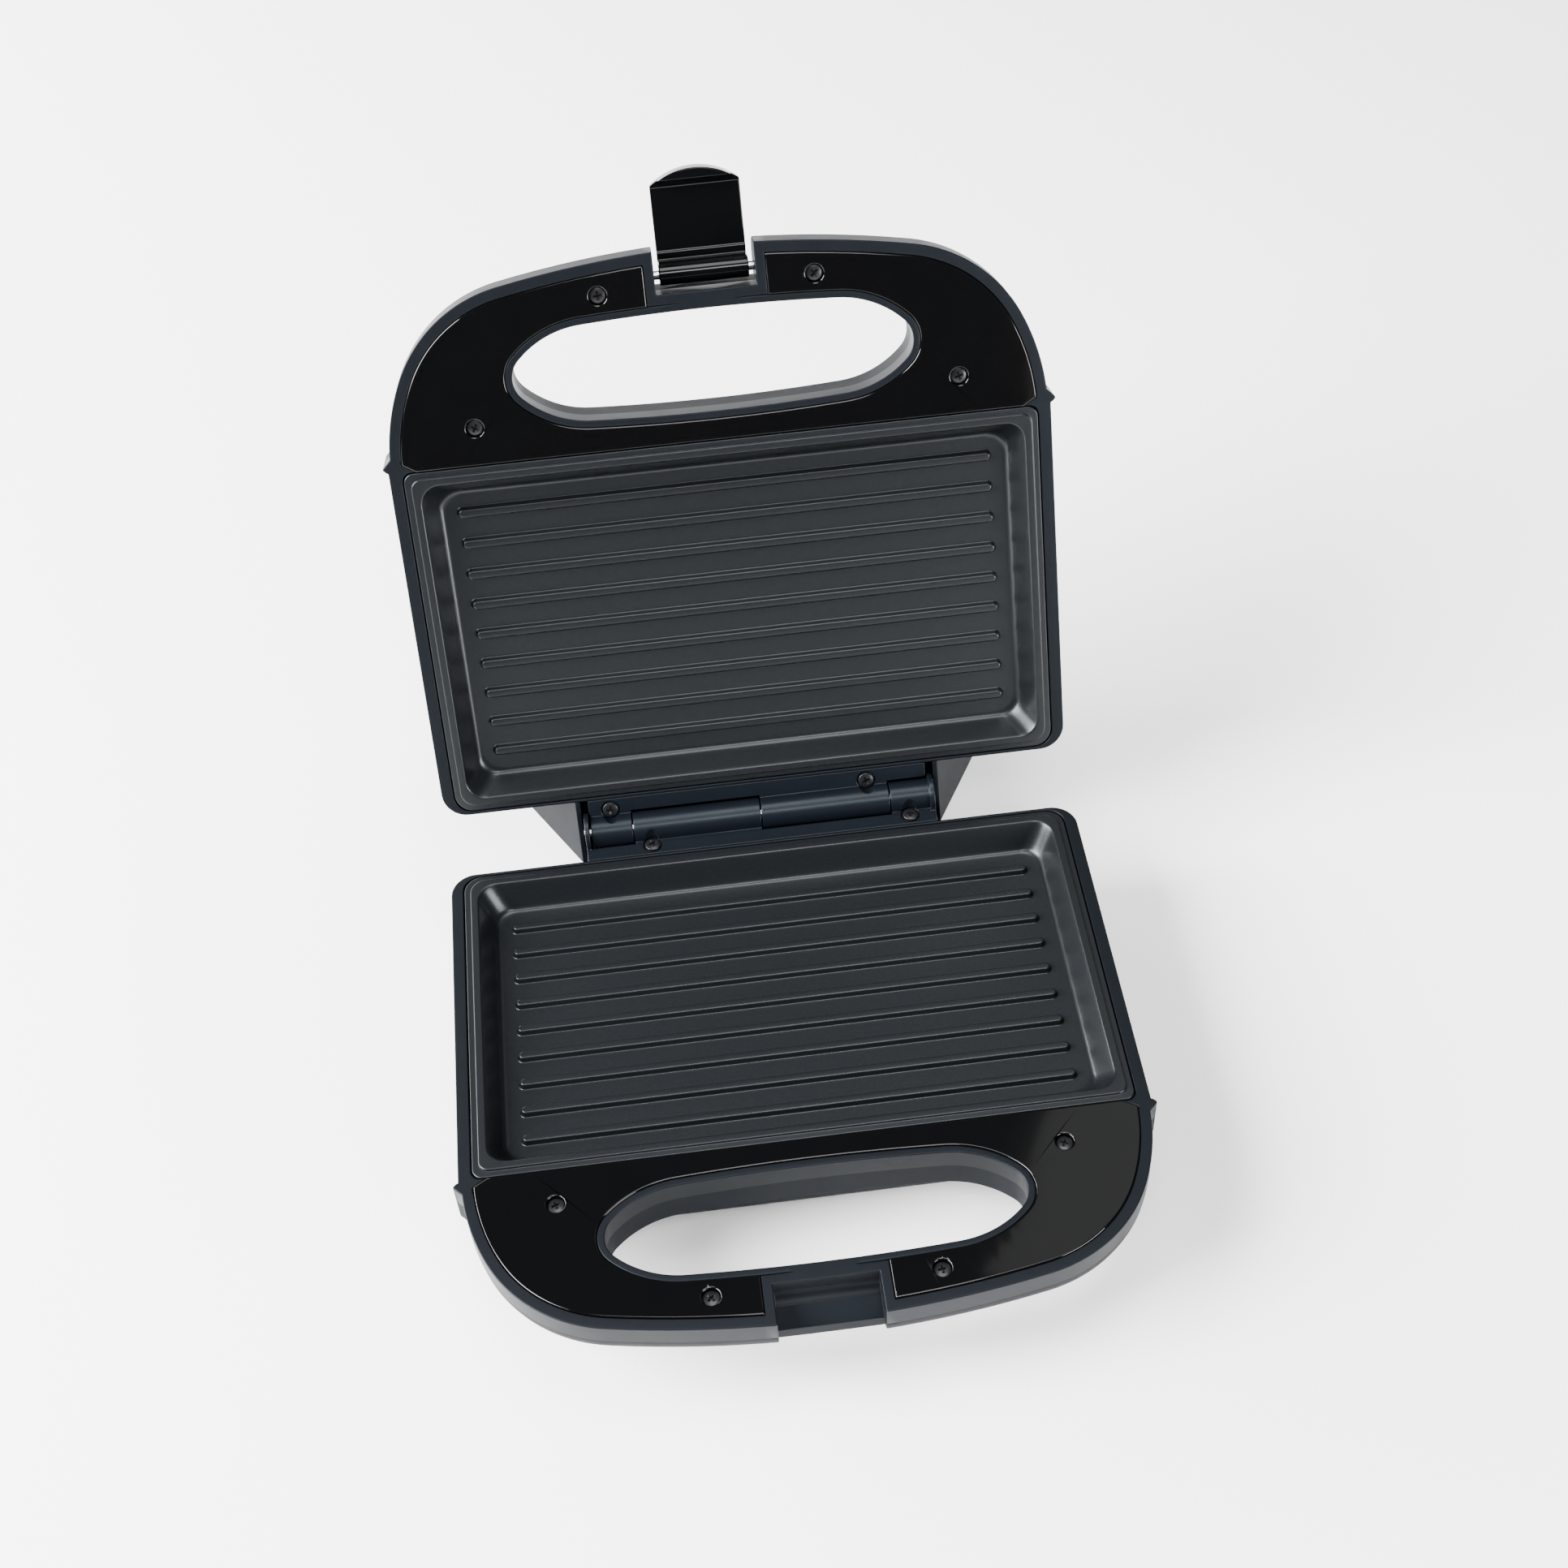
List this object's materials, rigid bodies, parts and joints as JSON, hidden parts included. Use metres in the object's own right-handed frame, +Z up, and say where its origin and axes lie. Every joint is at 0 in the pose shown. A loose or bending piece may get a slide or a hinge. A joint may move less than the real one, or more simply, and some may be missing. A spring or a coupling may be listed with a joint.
{
  "type": "panini press",
  "caption": "Opened-out panini press with ridged grill plates in both halves, looped handles, a barrel hinge and a swinging latch.",
  "frame": {"origin": "centre of the footprint of the opened press, on the surface it stands on", "axes": "+Z up, +X to the right of a person at the handle, -Y towards the base's handle, +Y towards the hinge"},
  "size_m": [0.233, 0.3185, 0.2551],
  "materials": {
    "housing": "satin moulded black plastic with a fine grain",
    "gloss_trim": "piano black, polished",
    "hinge": "satin moulded black plastic",
    "nonstick_plate": "dark grey non-stick coating with a fine sprayed grain",
    "heater_sheath": "oxidised steel sheath",
    "shield_steel": "aluminised sheet steel",
    "black_screw": "black oxide",
    "zinc_screw": "zinc plated",
    "pin_steel": "bright drawn steel",
    "ceramic": "glazed ceramic disc",
    "foot_rubber": "matte black rubber",
    "terminal_plastic": "white heat-resistant plastic",
    "lead_insulation": "braided glass-fibre sleeving",
    "ready_lens": "clear green",
    "power_lens": "clear red",
    "lamp_glass": "small glass lamp",
    "latch_plastic": "satin moulded black plastic"
  },
  "bodies": {
    "base": {"base_casing": "housing", "base_bezel": "housing", "base_trim": "gloss_trim", "base_hinge_bracket": "hinge", "base_grill_plate": "nonstick_plate", "base_heater": "heater_sheath", "base_heat_shield": "shield_steel", "base_trim_screws": "black_screw", "base_hinge_screws": "black_screw", "base_plate_screws": "zinc_screw", "base_shield_screws": "zinc_screw", "base_thermostat": "ceramic", "base_thermal_fuse": "pin_steel", "feet": "foot_rubber", "cord_gland": "foot_rubber", "hinge_pin": "pin_steel", "terminal_block": "terminal_plastic", "base_leads": "lead_insulation"},
    "lid": {"lid_casing": "housing", "lid_bezel": "housing", "lid_trim": "gloss_trim", "lid_hinge_bracket": "hinge", "lid_grill_plate": "nonstick_plate", "lid_heater": "heater_sheath", "lid_heat_shield": "shield_steel", "lid_trim_screws": "black_screw", "lid_hinge_screws": "black_screw", "lid_plate_screws": "zinc_screw", "lid_shield_screws": "zinc_screw", "lid_thermostat": "ceramic", "lid_thermal_fuse": "pin_steel", "ready_lens": "ready_lens", "power_lens": "power_lens", "lid_lamps": "lamp_glass", "latch_pin": "pin_steel"},
    "latch": {"latch": "latch_plastic"}
  },
  "joints": [
    {"name": "lid_hinge", "type": "hinge", "parent": "base", "child": "lid", "pos_m": [0, 0.05006, 0.046], "axis": [1, 0, 0], "range_deg": [0, 113.25]},
    {"name": "latch_pivot", "type": "hinge", "parent": "lid", "child": "latch", "pos_m": [0, 0.13872, 0.2245], "axis": [1, 0, 0], "range_deg": [0, 90]}
  ]
}
